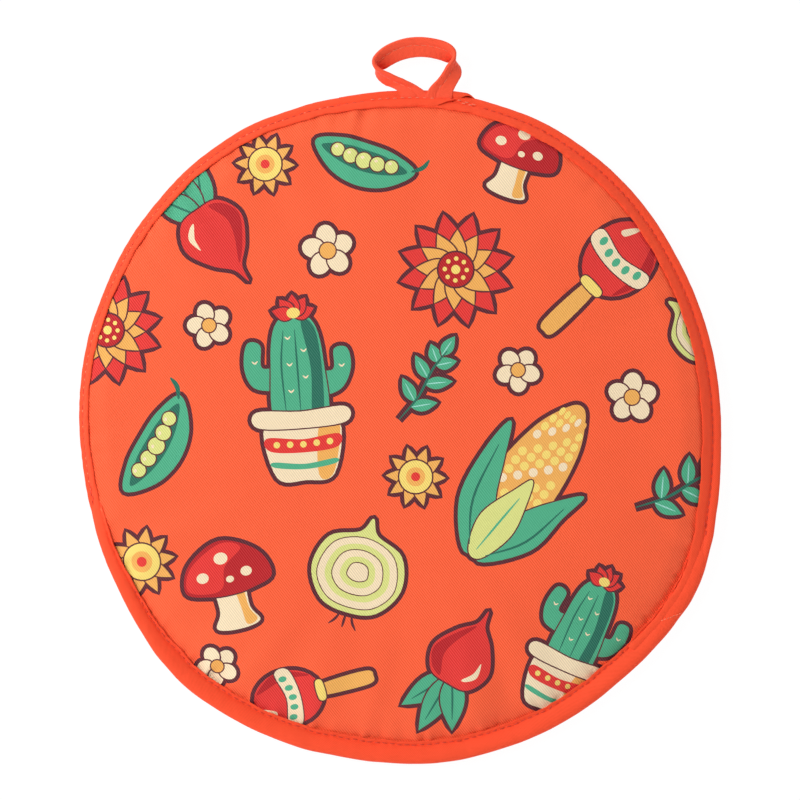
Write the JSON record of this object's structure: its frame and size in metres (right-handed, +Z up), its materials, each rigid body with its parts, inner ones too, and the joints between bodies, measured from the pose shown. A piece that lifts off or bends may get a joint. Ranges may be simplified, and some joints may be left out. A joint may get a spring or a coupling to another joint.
{
  "type": "tortilla warmer pouch",
  "caption": "Round padded cloth pouch with bound edges that keeps flatbreads warm; its upper front lifts at a wide mouth, and a cloth loop at the rim hangs it up.",
  "frame": {"origin": "middle of the flat underside, on the surface that the pouch lies on", "axes": "+Z up through the printed front; +Y from the closed rim to the mouth and its hanging loop; +X to the right as the front is looked at"},
  "size_m": [0.2912, 0.3292, 0.018],
  "materials": {
    "printed_cloth": "matte",
    "wadding": "matte",
    "lining_cloth": "matte",
    "binding_tape": "matte",
    "thread": "matte",
    "pale_thread": "matte"
  },
  "bodies": {
    "pouch": {"back_outer": "printed_cloth", "back_wadding": "wadding", "back_lining": "lining_cloth", "front_outer_lower": "printed_cloth", "front_wadding_lower": "wadding", "front_lining_lower": "lining_cloth", "rim_binding": "binding_tape", "rim_stitching": "thread", "binding_join_seam": "pale_thread", "back_mouth_binding": "binding_tape", "back_mouth_stitching": "thread", "mouth_bartacks": "thread"},
    "mouth_flap": {"front_outer_flap": "printed_cloth", "front_wadding_flap": "wadding", "front_lining_flap": "lining_cloth", "front_mouth_binding": "binding_tape", "front_mouth_stitching": "thread", "loop_tacks": "pale_thread"},
    "loop": {"hanging_loop": "binding_tape", "loop_stitching": "pale_thread"}
  },
  "joints": [
    {"name": "mouth_fold", "type": "hinge", "parent": "pouch", "child": "mouth_flap", "pos_m": [0, -0.042, 0.0176], "axis": [1, 0, 0], "range_deg": [0, 110]},
    {"name": "loop_swing", "type": "hinge", "parent": "mouth_flap", "child": "loop", "pos_m": [0.002, 0.1525, 0.0079], "axis": [1, 0, 0], "range_deg": [0, 100]}
  ]
}
